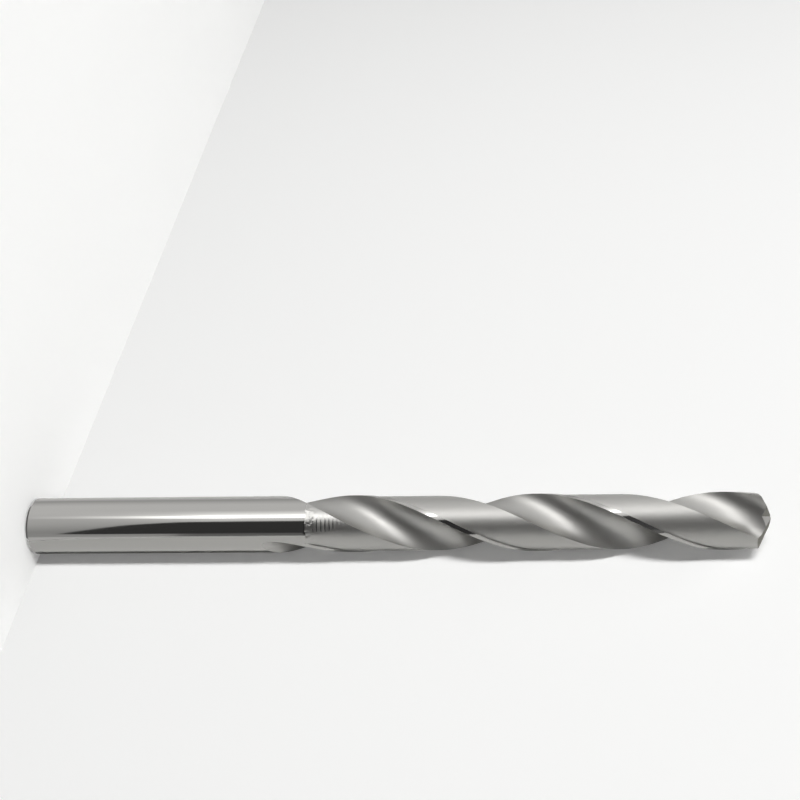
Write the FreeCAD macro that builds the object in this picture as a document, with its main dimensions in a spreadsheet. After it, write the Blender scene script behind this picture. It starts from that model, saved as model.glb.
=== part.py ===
import FreeCAD, Part
import math
import os

import Sketcher
from FreeCAD import Vector

# Jobber drill bit, right-hand, two flutes, ground from one rod of hard metal.
# Frame: the origin is the centre of the flat shank end, +Z runs along the axis to the point,
# and the two cutting lips lie along X. Sizes are in millimetres and degrees.

SIZES = (
    ("diameter", 6.35, "across the margins at the point"),
    ("back_taper", 0.02, "how much smaller the shank is, so that the margins run free in the hole"),
    ("overall_length", 82.55, "from the shank end to the tip of the point"),
    ("shank_chamfer", 0.35, "45 degree chamfer of the shank end"),
    ("flute_radius", 3.115, "radius of the round flute, square to the axis"),
    ("web_thickness", 1.75, "metal left between the flutes at the point"),
    ("web_growth", 0.006, "gain in half the web for each millimetre back from the point"),
    ("helix_lead", 40.4, "length of one whole turn of the flutes"),
    ("full_flute_length", 45.65, "from the point to where the flutes begin to run out"),
    ("runout_length", 10.3, "length over which a flute rises to the surface"),
    ("margin_width", 0.5, "width of the guiding margin behind each leading edge"),
    ("clearance_depth", 0.14, "how far the land behind the margin is ground back"),
    ("clearance_length", 49.95, "from the point to the start of the ground-back land"),
    ("clearance_run_in", 1.25, "length over which that grinding comes in to its full depth"),
    ("point_angle", 118, "included angle of the point"),
    ("point_crown", 0.289, "height above the split tip at which the two flanks would meet"),
    ("lip_relief", 9.7, "fall of the flank behind a lip"),
    ("heel_start", 0.8, "distance along the lip at which the heel facet starts"),
    ("heel_turn", 50, "turn of the heel facet's edge back from the lip"),
    ("heel_slope", 33, "fall of the heel facet's edge towards the outside"),
    ("heel_relief", 11, "tilt of the heel facet about that edge"),
    ("split_offset", 0.45, "distance from the centre to the valley of the splitting notch"),
    ("split_drop", 0.27, "start of that valley below the height at which the flanks would meet"),
    ("split_turn", 68, "direction in which that valley runs out, from the lip"),
    ("split_tilt", 32, "angle between the valley and the drill's axis"),
    ("split_rake_side", 58, "angle of the notch's side under the lip"),
    ("split_floor_side", 80, "angle of the notch's side on the other heel"),
    ("split_floor_width", 1.9, "width of that side"),
)

# How far a cut runs on past the metal, in millimetres, and how finely the flute's path is drawn
OVERRUN = 1.0
PATH_STEPS = 48
# The run-in's cut starts outside the rod, by this share of its length and depth
OUTSIDE_SHARE = 0.25
FULL_TURN = 360.0

# Values that follow from the sizes, in millimetres and degrees
WORKED_OUT = (
    ("rod_radius", "=sizes.diameter / 2"),
    ("shank_radius", "=(sizes.diameter - sizes.back_taper) / 2"),
    ("shank_length", "=sizes.overall_length - sizes.full_flute_length - sizes.runout_length"),
    ("half_web", "=sizes.web_thickness / 2"),
    ("twist", f"={FULL_TURN} / sizes.helix_lead"),
    ("lip_slope", "=90 - sizes.point_angle / 2"),
    ("lip_ahead", "=asin(half_web / rod_radius) / 1 deg"),
    ("flute_reach", "=sizes.flute_radius + half_web"),
    ("half_opening", "=acos((flute_reach^2 + rod_radius^2 - sizes.flute_radius^2)"
                     " / (2 * flute_reach * rod_radius)) / 1 deg"),
    ("corner_drop", "=sqrt(rod_radius^2 - half_web^2) * tan(lip_slope)"
                    " - half_web * tan(sizes.lip_relief) / cos(lip_slope)"),
    ("tip_turn", "=lip_ahead + half_opening + twist * (corner_drop - sizes.point_crown)"),
    ("crown_height", "=sizes.overall_length + sizes.point_crown"),
    ("blank_length", f"=crown_height + {OVERRUN}"),
    ("margin_angle", "=sizes.margin_width / rod_radius * 1 rad / 1 deg"),
    ("land_span", "=half_opening + margin_angle - 180"),
    ("land_radius", "=rod_radius - sizes.clearance_depth"),
    ("run_in_radius", f"=rod_radius + {OUTSIDE_SHARE} * sizes.clearance_depth"),
    ("run_in_back", f"=sizes.clearance_length + {1 + OUTSIDE_SHARE} * sizes.clearance_run_in"),
    ("path_back", f"=sizes.full_flute_length + sizes.runout_length + {OVERRUN}"),
    ("bottom_at_exit", "=half_web + sizes.web_growth * (sizes.full_flute_length + sizes.runout_length)"),
    ("start_reach", "=flute_reach + sizes.web_growth * path_back + (rod_radius - bottom_at_exit)"
                    " * ((path_back - sizes.full_flute_length) / sizes.runout_length)^2"),
)

doc = FreeCAD.newDocument("jobber_drill_bit")
sheet = doc.addObject("Spreadsheet::Sheet", "sizes")
for row, (alias, value, note) in enumerate(SIZES, start=1):
    sheet.set(f"A{row}", note)
    sheet.set(f"B{row}", str(value))
    sheet.setAlias(f"B{row}", alias)
doc.recompute()
worked = doc.addObject("Spreadsheet::Sheet", "worked")
for row, (alias, formula) in enumerate(WORKED_OUT, start=1):
    worked.setAlias(f"B{row}", alias)
    worked.set(f"B{row}", formula)
    doc.recompute()


def size(alias):
    source = sheet if hasattr(sheet, alias) else worked
    return float(getattr(source, alias))


body = doc.addObject("PartDesign::Body", "drill_bit")
body.Label = "drill_bit"

# Points of a sketch's line or arc, and the sketch's own origin and X axis
START, END, CENTRE = 1, 2, 3
ORIGIN = (-1, 1)
X_AXIS = -1


def new_sketch(name, role, placed_by=()):
    sketch = body.newObject("Sketcher::SketchObject", name)
    plane = next(item for item in body.Origin.OriginFeatures if item.Role == role)
    sketch.AttachmentSupport = [(plane, "")]
    sketch.MapMode = "FlatFace"
    for path, expression in placed_by:
        sketch.setExpression(f"AttachmentOffset.{path}", expression)
    doc.recompute()
    return sketch


def hold(sketch, kind, *where):
    sketch.addConstraint(Sketcher.Constraint(kind, *where))


def drive(sketch, name, expression, kind, *where):
    index = sketch.addConstraint(Sketcher.Constraint(kind, *where))
    sketch.renameConstraint(index, name)
    sketch.setExpression(f"Constraints.{name}", expression)


def closed_outline(sketch, points):
    count = len(points)
    for index, start in enumerate(points):
        end = points[(index + 1) % count]
        sketch.addGeometry(Part.LineSegment(Vector(*start, 0), Vector(*end, 0)), False)
    for index in range(count):
        hold(sketch, "Coincident", index, END, (index + 1) % count, START)


def at_angle(reach, degrees):
    angle = math.radians(degrees)
    return (reach * math.cos(angle), reach * math.sin(angle))


def cut(kind, name, sketch, set_up):
    """A cut with the sketch's outline, which has to take metal away."""
    before = body.Shape.Volume
    feature = body.newObject(f"PartDesign::{kind}", name)
    feature.Profile = sketch
    set_up(feature)
    doc.recompute()
    if not feature.Shape.Volume < before:
        raise RuntimeError(f"{name} removes no metal")
    return feature


# The blank is a ground rod: a plain shank with a chamfered end, and a body that tapers out to its front
radius = size("rod_radius")
shank_radius = size("shank_radius")
shank_length = size("shank_length")
length = size("overall_length")
blank_length = size("blank_length")
chamfer = size("shank_chamfer")
section = new_sketch("rod_section", "XZ_Plane")
closed_outline(section, (
    (0, 0), (shank_radius - chamfer, 0), (shank_radius, chamfer),
    (shank_radius, shank_length), (radius, blank_length), (0, blank_length),
))
hold(section, "Coincident", 0, START, *ORIGIN)
hold(section, "Horizontal", 0)
hold(section, "Vertical", 2)
hold(section, "Horizontal", 4)
hold(section, "Vertical", 5)
drive(section, "radius", "worked.rod_radius", "DistanceX", 4, END, 4, START, radius)
drive(section, "shank_radius", "worked.shank_radius", "DistanceX", *ORIGIN, 2, START, shank_radius)
drive(section, "shank_length", "worked.shank_length", "DistanceY", *ORIGIN, 2, END, shank_length)
drive(section, "length", "worked.blank_length", "DistanceY", 5, END, 5, START, blank_length)
drive(section, "chamfer_across", "sizes.shank_chamfer", "DistanceX", 1, START, 1, END, chamfer)
drive(section, "chamfer_along", "sizes.shank_chamfer", "DistanceY", 1, START, 1, END, chamfer)
rod = body.newObject("PartDesign::Revolution", "ground_rod")
rod.Profile = section
rod.ReferenceAxis = (section, ["V_Axis"])
rod.Angle = FULL_TURN
doc.recompute()


# One flute: a round section that follows the helix, and climbs out of the rod behind it
def flute_centre(back):
    bottom = size("half_web") + size("web_growth") * back
    beyond = max(back - size("full_flute_length"), 0)
    bottom += (radius - size("bottom_at_exit")) * (beyond / size("runout_length")) ** 2
    across = at_angle(size("flute_radius") + bottom, size("tip_turn") - size("twist") * back)
    return Vector(*across, length - back)


path_back = size("path_back")
step = (path_back + OVERRUN) / PATH_STEPS
curve = Part.BSplineCurve()
curve.interpolate([flute_centre(path_back - step * index) for index in range(PATH_STEPS + 1)])
path = doc.addObject("Part::Feature", "flute_path")
path.Shape = Part.Wire([curve.toShape()])

section = new_sketch("flute_section", "XY_Plane", (
    ("Base.z", "sizes.overall_length - worked.path_back"),
    ("Rotation.Angle", "worked.tip_turn - worked.twist * worked.path_back"),
))
reach = size("start_reach")
circle = Part.Circle(Vector(reach, 0, 0), Vector(0, 0, 1), size("flute_radius"))
section.addGeometry(Part.ArcOfCircle(circle, 0, math.pi), False)
section.addGeometry(Part.ArcOfCircle(circle, math.pi, 2 * math.pi), False)
hold(section, "Coincident", 0, END, 1, START)
hold(section, "Coincident", 1, END, 0, START)
hold(section, "Coincident", 0, CENTRE, 1, CENTRE)
hold(section, "PointOnObject", 0, START, X_AXIS)
hold(section, "PointOnObject", 0, END, X_AXIS)
drive(section, "radius", "sizes.flute_radius", "Radius", 0, size("flute_radius"))
drive(section, "reach", "worked.start_reach", "DistanceX", *ORIGIN, 0, CENTRE, reach)


def follow_path(feature):
    feature.Spine = (path, ["Edge1"])
    feature.Mode = "Fixed"


flute = cut("SubtractivePipe", "flute", section, follow_path)

# The land behind each margin is ground back, from the margin to the middle of the next flute
def land_sector(name, back, inner_radius):
    """A sector outside a radius, drawn at a distance back from the point."""
    turn = f"worked.tip_turn - worked.twist * {back}"
    sketch = new_sketch(name, "XY_Plane", (
        ("Base.z", f"sizes.overall_length - {back}"),
        ("Rotation.Angle", f"{turn} - worked.half_opening - worked.margin_angle"),
    ))
    inner = size(inner_radius)
    outer = radius + OVERRUN
    span = size("land_span")
    origin, upward = Vector(0, 0, 0), Vector(0, 0, 1)
    for arc_radius in (inner, outer):
        circle = Part.Circle(origin, upward, arc_radius)
        sketch.addGeometry(Part.ArcOfCircle(circle, math.radians(span), 0), False)
    sketch.addGeometry(Part.LineSegment(Vector(inner, 0, 0), Vector(outer, 0, 0)), False)
    far_end = [Vector(*at_angle(reach, span), 0) for reach in (inner, outer)]
    sketch.addGeometry(Part.LineSegment(*far_end), False)
    sketch.addGeometry(Part.LineSegment(origin, far_end[0]), True)
    for arc in (0, 1):
        hold(sketch, "Coincident", arc, CENTRE, *ORIGIN)
        hold(sketch, "Coincident", arc, END, 2, (START, END)[arc])
        hold(sketch, "Coincident", arc, START, 3, (START, END)[arc])
    hold(sketch, "PointOnObject", 2, START, X_AXIS)
    hold(sketch, "Horizontal", 2)
    hold(sketch, "Coincident", 4, START, *ORIGIN)
    hold(sketch, "Coincident", 4, END, 3, START)
    hold(sketch, "PointOnObject", 3, END, 4)
    drive(sketch, "inner", f"worked.{inner_radius}", "Radius", 0, inner)
    drive(sketch, "outer", f"worked.rod_radius + {OVERRUN}", "Radius", 1, outer)
    drive(sketch, "span", "worked.land_span * 1 deg", "Angle", 4, math.radians(span))
    return sketch


section = land_sector("clearance_section", "sizes.clearance_length", "land_radius")


def follow_helix(feature):
    feature.ReferenceAxis = (section, ["N_Axis"])
    feature.Mode = "pitch-height-angle"
    feature.setExpression("Pitch", "sizes.helix_lead")
    feature.setExpression("Height", f"sizes.clearance_length + {OVERRUN}")
    feature.HasBeenEdited = True


clearance = cut("SubtractiveHelix", "land_clearance", section, follow_helix)

# The grinding comes in on a slope, which starts at the surface of the rod
full_depth = land_sector("run_in_end", "sizes.clearance_length", "land_radius")


def rise_to_full_depth(feature):
    feature.Sections = [(full_depth, [""])]
    feature.Ruled = True


outline = land_sector("run_in_start", "worked.run_in_back", "run_in_radius")
run_in = cut("SubtractiveLoft", "clearance_run_in", outline, rise_to_full_depth)


# The point is ground flat: a flank behind each lip, and a steeper facet at its heel
def grind_flat(name, placed_by):
    sketch = new_sketch(f"{name}_outline", "XY_Plane", placed_by)
    half = size("diameter")
    closed_outline(sketch, ((-half, -half), (half, -half), (half, half), (-half, half)))
    for index, kind in enumerate(("Horizontal", "Vertical", "Horizontal", "Vertical")):
        hold(sketch, kind, index)
    hold(sketch, "Symmetric", 0, START, 2, START, *ORIGIN)
    drive(sketch, "width", "2 * sizes.diameter", "DistanceX", 0, START, 0, END, 2 * half)
    drive(sketch, "height", "2 * sizes.diameter", "DistanceY", 1, START, 1, END, 2 * half)

    def clear_above(feature):
        feature.Reversed = True
        feature.setExpression("Length", "sizes.diameter")

    return cut("Pocket", name, sketch, clear_above)


flank = grind_flat("flank", (
    ("Base.z", "worked.crown_height"),
    ("Rotation.Pitch", "worked.lip_slope"),
    ("Rotation.Roll", "sizes.lip_relief"),
))
heel = grind_flat("heel_facet", (
    ("Base.x", "sizes.heel_start"),
    ("Base.z", "worked.crown_height - sizes.heel_start * tan(worked.lip_slope)"),
    ("Rotation.Yaw", "-sizes.heel_turn"),
    ("Rotation.Pitch", "sizes.heel_slope"),
    ("Rotation.Roll", "sizes.heel_relief"),
))

# A notch on each side splits the chisel edge and thins the web
section = new_sketch("split_section", "XY_Plane", (
    ("Base.x", "sizes.split_offset"),
    ("Base.z", "worked.crown_height - sizes.split_drop"),
    ("Rotation.Yaw", "sizes.split_turn"),
    ("Rotation.Pitch", "-sizes.split_tilt"),
))
far = size("diameter")
rake_end = at_angle(far, -size("split_rake_side"))
floor_end = at_angle(size("split_floor_width"), size("split_floor_side"))
closed_outline(section, ((0, 0), rake_end, (far, rake_end[1]), (far, floor_end[1]), floor_end))
hold(section, "Coincident", 0, START, *ORIGIN)
hold(section, "Horizontal", 1)
hold(section, "Vertical", 2)
hold(section, "Horizontal", 3)
drive(section, "rake_side", "-sizes.split_rake_side * 1 deg", "Angle", 0,
      math.radians(-size("split_rake_side")))
drive(section, "rake_width", "sizes.diameter", "Distance", 0, far)
drive(section, "floor_side", "(180 + sizes.split_floor_side) * 1 deg", "Angle", 4,
      math.radians(FULL_TURN / 2 + size("split_floor_side")))
drive(section, "floor_width", "sizes.split_floor_width", "Distance", 4, size("split_floor_width"))
drive(section, "depth", "sizes.diameter", "DistanceX", *ORIGIN, 2, START, far)


def run_down_the_valley(feature):
    feature.setExpression("Length", "sizes.diameter")


split = cut("Pocket", "split", section, run_down_the_valley)

# Everything that is cut on one side is cut on the other, half a turn round the axis
both_sides = body.newObject("PartDesign::PolarPattern", "both_sides")
both_sides.Originals = [flute, clearance, run_in, flank, heel, split]
both_sides.Axis = (doc.getObject("rod_section"), ["V_Axis"])
both_sides.Angle = FULL_TURN
both_sides.Occurrences = 2
body.Tip = both_sides
doc.recompute()

# Nothing is written unless every object is sound and the drill is one solid
for item in doc.Objects:
    if "Invalid" in item.State or "Error" in item.State:
        raise RuntimeError(f"{item.Name} failed")
shape = body.Shape
if shape.isNull() or not shape.isValid() or len(shape.Solids) != 1:
    raise RuntimeError("the drill is not one valid solid")
os.makedirs("parts", exist_ok=True)
shape.exportStep(f"parts/{body.Label}.step")
top = shape.optimalBoundingBox().ZMax
print(f"{body.Label}: {shape.Volume:.1f} mm3, {len(shape.Faces)} faces, tip at {top:.3f} mm")
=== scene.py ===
# %% [markdown]
# A solid carbide jobber drill
#
# The real tool is one rod of cemented carbide. A wheel grinds two round flutes along a right-hand
# helix, a second one grinds the lands back behind two narrow margins, and flat wheels cut the point.
# This lesson makes the same surfaces in Blender, at their real size, round the loaded CAD frame.
#
# First the frame is loaded. It gives the drill's box, so the length never has to be typed again.

# %% Load the frame
import math
from itertools import accumulate

import bmesh
import bpy
from mathutils import Euler, Matrix, Vector


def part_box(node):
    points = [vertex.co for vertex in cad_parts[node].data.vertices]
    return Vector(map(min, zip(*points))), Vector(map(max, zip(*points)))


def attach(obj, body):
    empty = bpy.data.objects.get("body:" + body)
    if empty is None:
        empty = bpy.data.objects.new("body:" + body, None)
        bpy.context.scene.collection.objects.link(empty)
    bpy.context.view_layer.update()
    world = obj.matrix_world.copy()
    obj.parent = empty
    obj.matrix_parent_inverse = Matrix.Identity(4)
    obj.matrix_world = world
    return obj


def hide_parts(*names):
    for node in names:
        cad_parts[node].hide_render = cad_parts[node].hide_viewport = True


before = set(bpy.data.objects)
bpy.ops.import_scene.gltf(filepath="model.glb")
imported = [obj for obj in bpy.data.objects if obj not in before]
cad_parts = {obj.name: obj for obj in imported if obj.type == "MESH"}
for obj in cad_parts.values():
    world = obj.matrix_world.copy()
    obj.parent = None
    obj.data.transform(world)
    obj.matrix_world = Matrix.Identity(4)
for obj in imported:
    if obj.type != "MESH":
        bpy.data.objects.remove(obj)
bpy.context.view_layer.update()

low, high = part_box("drill_bit")
MILLIMETRE = 0.001
LENGTH = (high[2] - low[2]) / MILLIMETRE
print(f"The drill is {LENGTH:.2f} mm long")

# %% [markdown]
# The sizes below are those of the ground tool, in millimetres and degrees, as a grinder would note
# them. The flute is a circle square to the axis, and the web between the flutes thickens slightly
# towards the shank, which makes the drill stiffer.

# %% Sizes of the ground tool
DIAMETER = 6.35
SHANK_DIAMETER = 6.33
SHANK_CHAMFER = 0.35
FLUTE_RADIUS = 3.115
WEB = 1.75
WEB_GROWTH = 0.006
HELIX_LEAD = 40.4
FULL_FLUTE = 45.65
RUNOUT = 10.3
MARGIN = 0.5
LAND_DEPTH = 0.14
LAND_LENGTH = 49.95
LAND_RUN_IN = 1.25

rod_radius = DIAMETER / 2
half_web = WEB / 2
shank_length = LENGTH - FULL_FLUTE - RUNOUT
print(f"The plain shank is {shank_length:.2f} mm long")

# %% [markdown]
# The point has a flank and a steeper heel facet on each side, and a notch on each side that splits
# the chisel edge. The crown is where the two flanks would meet, a little above the real tip.

# %% Sizes of the point
POINT_ANGLE = 118
CROWN = 0.289
LIP_RELIEF = 9.7

# The heel facet starts this far from the axis. It is turned and sloped, and falls off to the rear.
HEEL_START = 0.8
HEEL_TURN = 50
HEEL_SLOPE = 33
HEEL_RELIEF = 11

# The notch's inner corner lies off the axis and below the crown, on a wheel that is turned and tilted.
# Two angles give the directions of its rake side and its floor.
NOTCH_OFFSET = 0.45
NOTCH_DROP = 0.27
NOTCH_TURN = 68
NOTCH_TILT = 32
NOTCH_RAKE_SIDE = 58
NOTCH_FLOOR_SIDE = 80
NOTCH_FLOOR_WIDTH = 1.9

lip_slope = 90 - POINT_ANGLE / 2
crown_height = LENGTH + CROWN
print(f"The lips slope by {lip_slope:.0f} degrees")

# %% [markdown]
# The lips have to lie along X, so the helix needs its right turn at the point. It follows from how
# far a flute opens at the surface, how far the lip lies ahead of the centre, and how far the lip's
# outer corner lies below the tip.

# %% Where the flutes stand at the point
flute_centre = FLUTE_RADIUS + half_web
opening_squares = flute_centre ** 2 + rod_radius ** 2 - FLUTE_RADIUS ** 2
opening_cosine = opening_squares / (2 * flute_centre * rod_radius)
lip_ahead = math.asin(half_web / rod_radius)
corner_reach = math.sqrt(rod_radius ** 2 - half_web ** 2) * math.tan(math.radians(lip_slope))
corner_rise = half_web * math.tan(math.radians(LIP_RELIEF)) / math.cos(math.radians(lip_slope))
twist = 2 * math.pi / HELIX_LEAD
tip_turn = lip_ahead + math.acos(opening_cosine) + twist * (corner_reach - corner_rise - CROWN)
print(f"At the tip a flute points {math.degrees(tip_turn):.1f} degrees from the lip")

# %% [markdown]
# Node trees get long, so one helper adds a node, sets it up and links its inputs. A colour is
# written as the hex value that a screen shows, and turned into the linear light that shaders use.

# %% Helpers for nodes, colours and objects
MATH = "ShaderNodeMath"
MAP_RANGE = "ShaderNodeMapRange"


def add(tree, kind, inputs=(), **settings):
    """Adds a node. inputs are values, nodes or sockets, in order or by name."""
    node = tree.nodes.new(kind)
    for name, value in settings.items():
        setattr(node, name, value)
    named = inputs.items() if isinstance(inputs, dict) else enumerate(inputs)
    for key, value in named:
        if isinstance(value, bpy.types.Node):
            value = value.outputs[0]
        if isinstance(value, bpy.types.NodeSocket):
            tree.links.new(value, node.inputs[key])
        elif value is not None:
            node.inputs[key].default_value = value
    return node


def linear(code):
    """A colour such as "b4b4b0" as linear red, green, blue and alpha."""
    channels = [int(code[place:place + 2], 16) / 255 for place in (0, 2, 4)]
    return [c / 12.92 if c <= 0.04045 else ((c + 0.055) / 1.055) ** 2.4 for c in channels] + [1]


def empty_material(name):
    """A material and its tree, with no nodes yet."""
    material = bpy.data.materials.new(name)
    material.use_nodes = True
    material.node_tree.nodes.clear()
    return material, material.node_tree


def in_scene(name, data):
    """A new object in the scene, from a mesh, a lamp or a lens."""
    thing = bpy.data.objects.new(name, data)
    bpy.context.scene.collection.objects.link(thing)
    return thing


print(f"Half of a screen's white, 808080, is {linear('808080')[0]:.2f} of its light")

# %% [markdown]
# Every finish of the drill is bare metal with the grain of its own wheel. The grain lifts the surface
# a little, and makes it glossier in some places than in others. A picture of a ground surface could
# be laid on instead, but noise follows any shape and stays sharp close up. Noise stays mostly between
# 0.3 and 0.7, so that stretch of it spreads the roughness over its whole range.

# %% Helpers for the finishes
GRAIN_LOW, GRAIN_HIGH = 0.3, 0.7


def bare_metal(name, colour):
    """A material with a metal shader of one colour, and its tree and shader."""
    material, tree = empty_material(name)
    shader = add(tree, "ShaderNodeBsdfPrincipled", {"Metallic": 1.0, "Base Color": linear(colour)})
    add(tree, "ShaderNodeOutputMaterial", (shader,))
    return material, tree, shader


def roughen(tree, shader, grain, strength, depth, roughness):
    """Lets a grain lift the surface, by a depth in millimetres, and vary its roughness in a range."""
    relief = {"Height": grain, "Strength": strength, "Distance": depth * MILLIMETRE}
    bump = add(tree, "ShaderNodeBump", relief)
    tree.links.new(bump.outputs[0], shader.inputs["Normal"])
    gloss = add(tree, MAP_RANGE, (grain, GRAIN_LOW, GRAIN_HIGH, *roughness))
    tree.links.new(gloss.outputs[0], shader.inputs["Roughness"])


print("Grain spreads the roughness from", GRAIN_LOW, "to", GRAIN_HIGH)

# %% [markdown]
# Cemented carbide is tungsten carbide grains in a little cobalt: a grey metal, darker than steel.
# The shank and the margins are ground round and lapped, so they mirror the room in long sharp
# streaks. What breaks the mirror is a very fine lay of grinding lines that run round the rod, drawn
# here as noise that is stretched round the axis. The real lines are finer than the picture can show,
# so they are drawn as wide as it needs.

# %% Lapped carbide of the shank and the margins
CARBIDE = "b1b0ad"
LAPPING_LINE = 0.03
ROUND_THE_ROD = 60
lapped, tree, shader = bare_metal("lapped_carbide", CARBIDE)
place = add(tree, "ShaderNodeTexCoord").outputs["Object"]
line_scale = (ROUND_THE_ROD, ROUND_THE_ROD, 1 / (LAPPING_LINE * MILLIMETRE))
rings = add(tree, "ShaderNodeMapping", {"Vector": place, "Scale": line_scale})
grain = add(tree, "ShaderNodeTexNoise", {"Vector": rings, "Scale": 1.0, "Detail": 2.0})
roughen(tree, shader, grain, strength=0.06, depth=0.002, roughness=(0.05, 0.09))
print("Made", lapped.name)

# %% [markdown]
# The flutes are ground in one pass by a coarser wheel. Its lines run along the helix and blur every
# reflection into a satin band. The lines follow the surface, so the body carries its own flute
# coordinates, in millimetres, as an attribute named lay.

# %% Satin carbide of the flutes
FLUTE_LINE = 0.06
ALONG_THE_FLUTE = 0.6
satin, tree, shader = bare_metal("satin_ground_carbide", CARBIDE)
lay = add(tree, "ShaderNodeAttribute", attribute_name="lay").outputs["Vector"]
line_scale = (1 / FLUTE_LINE, ALONG_THE_FLUTE, 1)
lines = add(tree, "ShaderNodeMapping", {"Vector": lay, "Scale": line_scale})
grain = add(tree, "ShaderNodeTexNoise", {"Vector": lines, "Scale": 1.0, "Detail": 3.0})
roughen(tree, shader, grain, strength=0.25, depth=0.004, roughness=(0.36, 0.44))
print("Made", satin.name)

# %% [markdown]
# The ground-back lands have a satin of their own. Where the wheel came in, near the shank, it left a
# rough patch and then fine ripples across the land, 0.45 mm apart. They wander a little, differ in
# strength and die out within 8 mm, and they keep to one stretch round the rod and the stretch
# opposite. They are far too shallow to show as shape, so a wave of shading draws them.

# %% Ripples on the ground-back lands
RIPPLE_PITCH = 0.45
RIPPLES_BEGIN, RIPPLES_FULL, RIPPLES_FADED = -0.3, 0.1, 8.0
RIPPLE_WANDER = 2.4
WANDERS_PER_MILLIMETRE = 0.7
RIPPLE_WEAKEST = 0.75
WEAK_GRAIN_LOW, WEAK_GRAIN_HIGH = 0.35, 0.6
WEAK_PLACES_PER_MILLIMETRE = 0.9
RIPPLE_MIDDLE = math.radians(254)
STRETCH_EDGE, STRETCH_FULL = 0.62, 0.93


def past_run_in(distance):
    """Height in metres, at a distance in millimetres past the place where the land has its depth."""
    return (LENGTH - LAND_LENGTH + distance) * MILLIMETRE


land_ground, tree, shader = bare_metal("ground_back_carbide", CARBIDE)
place = add(tree, "ShaderNodeTexCoord").outputs["Object"]
east, north, height = add(tree, "ShaderNodeSeparateXYZ", (place,)).outputs

wander_scale = WANDERS_PER_MILLIMETRE / MILLIMETRE
wander = add(tree, "ShaderNodeTexNoise", {"Vector": place, "Scale": wander_scale, "Detail": 1.0})
wander = add(tree, MATH, (wander, RIPPLE_WANDER), operation="MULTIPLY")
phase_per_metre = 2 * math.pi / (RIPPLE_PITCH * MILLIMETRE)
phase = add(tree, MATH, (height, phase_per_metre, wander), operation="MULTIPLY_ADD")
ripple = add(tree, MATH, (phase,), operation="SINE")

weak_scale = WEAK_PLACES_PER_MILLIMETRE / MILLIMETRE
weak = add(tree, "ShaderNodeTexNoise", {"Vector": place, "Scale": weak_scale, "Detail": 1.0})
weak = add(tree, MAP_RANGE, (weak, WEAK_GRAIN_LOW, WEAK_GRAIN_HIGH, RIPPLE_WEAKEST, 1))
fade = add(tree, MAP_RANGE, (height, past_run_in(0), past_run_in(RIPPLES_FADED), 1, 0))
begin = add(tree, MAP_RANGE, (height, past_run_in(RIPPLES_BEGIN), past_run_in(RIPPLES_FULL), 0, 1))
bearing = add(tree, MATH, (north, east), operation="ARCTAN2")
bearing = add(tree, MATH, (bearing, RIPPLE_MIDDLE), operation="SUBTRACT")
bearing = add(tree, MATH, (bearing, 2.0), operation="MULTIPLY")
stretch = add(tree, MATH, (bearing,), operation="COSINE")
stretch = add(tree, MAP_RANGE, (stretch, STRETCH_EDGE, STRETCH_FULL, 0, 1))
for share in (weak, fade, begin, stretch):
    ripple = add(tree, MATH, (ripple, share), operation="MULTIPLY")
print(f"The ripples begin at {past_run_in(RIPPLES_BEGIN) / MILLIMETRE:.1f} mm")

# %% [markdown]
# A ripple turns the light a little back and forth round the rod, so its wave tilts the normal that
# way, on top of the bumps. The rough patch has pits, and everywhere there are fine lines round the
# rod. The crests are rubbed smoother than the valleys, the patch a little, and the first part of the
# land is shinier than the rest.

# %% Finish of the ground-back lands
RIPPLE_TILT = 0.035
PATCH_FULL, PATCH_END = -0.5, 0.3
PIT_HEIGHT = 25.0
PITS_PER_MILLIMETRE = 2.4
LAND_LINE = 0.08
ROUND_THE_LAND = 400
LAND_ROUGHNESS = 0.47
START_SMOOTHER, CREST_SMOOTHER, PATCH_SMOOTHER = 0.09, 0.19, 0.1
backwards = add(tree, MATH, (north, -1.0), operation="MULTIPLY")
tangent = add(tree, "ShaderNodeCombineXYZ", (backwards, east, 0.0))
tangent = add(tree, "ShaderNodeVectorMath", (tangent,), operation="NORMALIZE")
tilt = add(tree, MATH, (ripple, RIPPLE_TILT), operation="MULTIPLY")
tilted_by = add(tree, "ShaderNodeVectorMath", {0: tangent, "Scale": tilt}, operation="SCALE")

rough = add(tree, MAP_RANGE, (height, past_run_in(PATCH_FULL), past_run_in(PATCH_END), 1, 0))
pit_scale = PITS_PER_MILLIMETRE / MILLIMETRE
pits = add(tree, "ShaderNodeTexNoise", {"Vector": place, "Scale": pit_scale, "Detail": 3.0})
pits = add(tree, MATH, (pits, rough), operation="MULTIPLY")
line_scale = (ROUND_THE_LAND, ROUND_THE_LAND, 1 / (LAND_LINE * MILLIMETRE))
lines = add(tree, "ShaderNodeMapping", {"Vector": place, "Scale": line_scale})
lines = add(tree, "ShaderNodeTexNoise", {"Vector": lines, "Scale": 1.0, "Detail": 3.0})
relief = add(tree, MATH, (pits, PIT_HEIGHT, lines), operation="MULTIPLY_ADD")
bump = add(tree, "ShaderNodeBump", {"Height": relief, "Strength": 0.5, "Distance": 0.012 * MILLIMETRE})
normal = add(tree, "ShaderNodeVectorMath", (bump, tilted_by), operation="ADD")
normal = add(tree, "ShaderNodeVectorMath", (normal,), operation="NORMALIZE")
tree.links.new(normal.outputs[0], shader.inputs["Normal"])

crest = add(tree, MATH, (ripple, 0.0), operation="MAXIMUM")
gloss = add(tree, MATH, (fade, -START_SMOOTHER, LAND_ROUGHNESS), operation="MULTIPLY_ADD")
gloss = add(tree, MATH, (crest, -CREST_SMOOTHER, gloss), operation="MULTIPLY_ADD")
gloss = add(tree, MATH, (rough, -PATCH_SMOOTHER, gloss), operation="MULTIPLY_ADD")
tree.links.new(gloss.outputs[0], shader.inputs["Roughness"])
print("Made", land_ground.name)

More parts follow.
